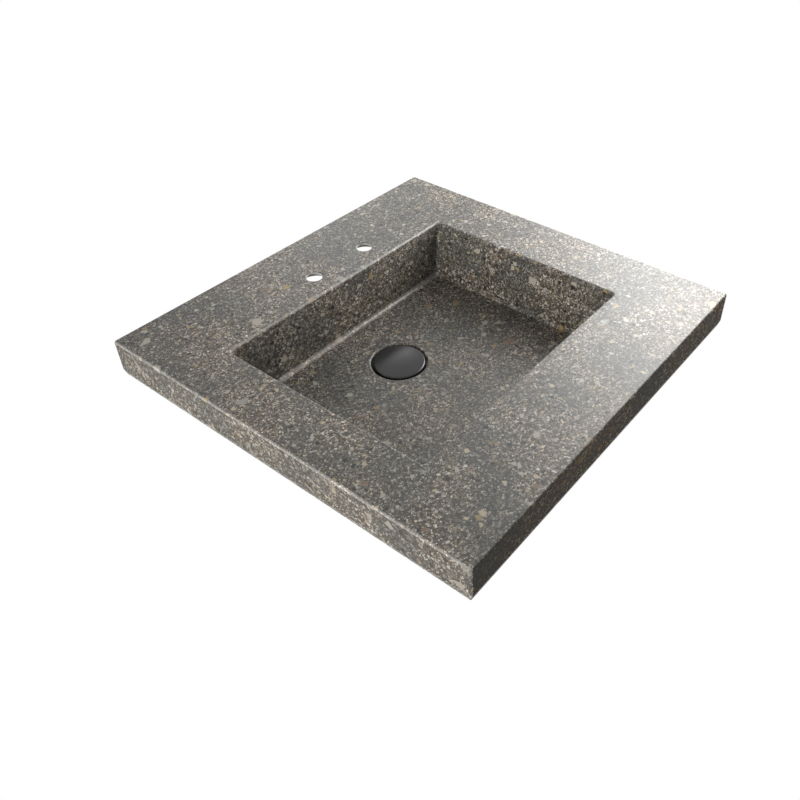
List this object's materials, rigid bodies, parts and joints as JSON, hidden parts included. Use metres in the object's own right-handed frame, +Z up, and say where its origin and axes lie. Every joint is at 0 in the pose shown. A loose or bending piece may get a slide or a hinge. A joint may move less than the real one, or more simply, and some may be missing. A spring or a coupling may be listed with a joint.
{
  "type": "bathroom sink",
  "caption": "Square terrazzo basin top with a deep offset rectangular bowl, tap holes behind it, and a black round push-to-open waste",
  "frame": {"origin": "centre of the rear edge's outer face, which goes against the wall, halfway up the 50 mm edge", "axes": "+X to the right of someone in front of the basin, +Y into the wall, +Z up"},
  "size_m": [0.55, 0.54, 0.1905],
  "materials": {
    "terrazzo": "honed grey-brown terrazzo with pale, tan and black chips, satin sealed",
    "black_coat": "satin black coat on brass",
    "brass": "turned brass, bare",
    "steel": "drawn stainless steel",
    "black_rubber": "moulded black rubber",
    "white_plastic": "moulded white plastic",
    "acetal": "moulded natural acetal"
  },
  "bodies": {
    "basin": {"basin_body": "terrazzo", "waste_body": "black_coat", "flange_gasket": "black_rubber", "cone_washer": "black_rubber", "slip_washer": "white_plastic", "back_nut": "brass", "tail_seal": "black_rubber", "tail_piece": "black_coat", "cartridge_barrel": "brass", "barrel_nut": "brass", "barrel_cap": "brass", "stem_seal": "black_rubber", "return_spring": "steel"},
    "plug": {"waste_cap": "black_coat", "cap_insert": "brass", "cap_seal": "black_rubber", "stem": "steel", "latch_plunger": "acetal"},
    "rotor": {"latch_rotor": "acetal"}
  },
  "joints": [
    {"name": "cap_push", "type": "slide", "parent": "basin", "child": "plug", "axis": [0, 0, 1], "range_m": [0, 0.008], "deforming": ["return_spring"]},
    {"name": "rotor_turn", "type": "hinge", "parent": "plug", "child": "rotor", "pos_m": [-0.017, -0.22, -0.11], "axis": [0, 0, 1], "range_deg": [-1, 46]}
  ],
  "couplings": [
    {"joint": "rotor_turn", "follows": "cap_push", "rad_per_m": 98.175}
  ]
}
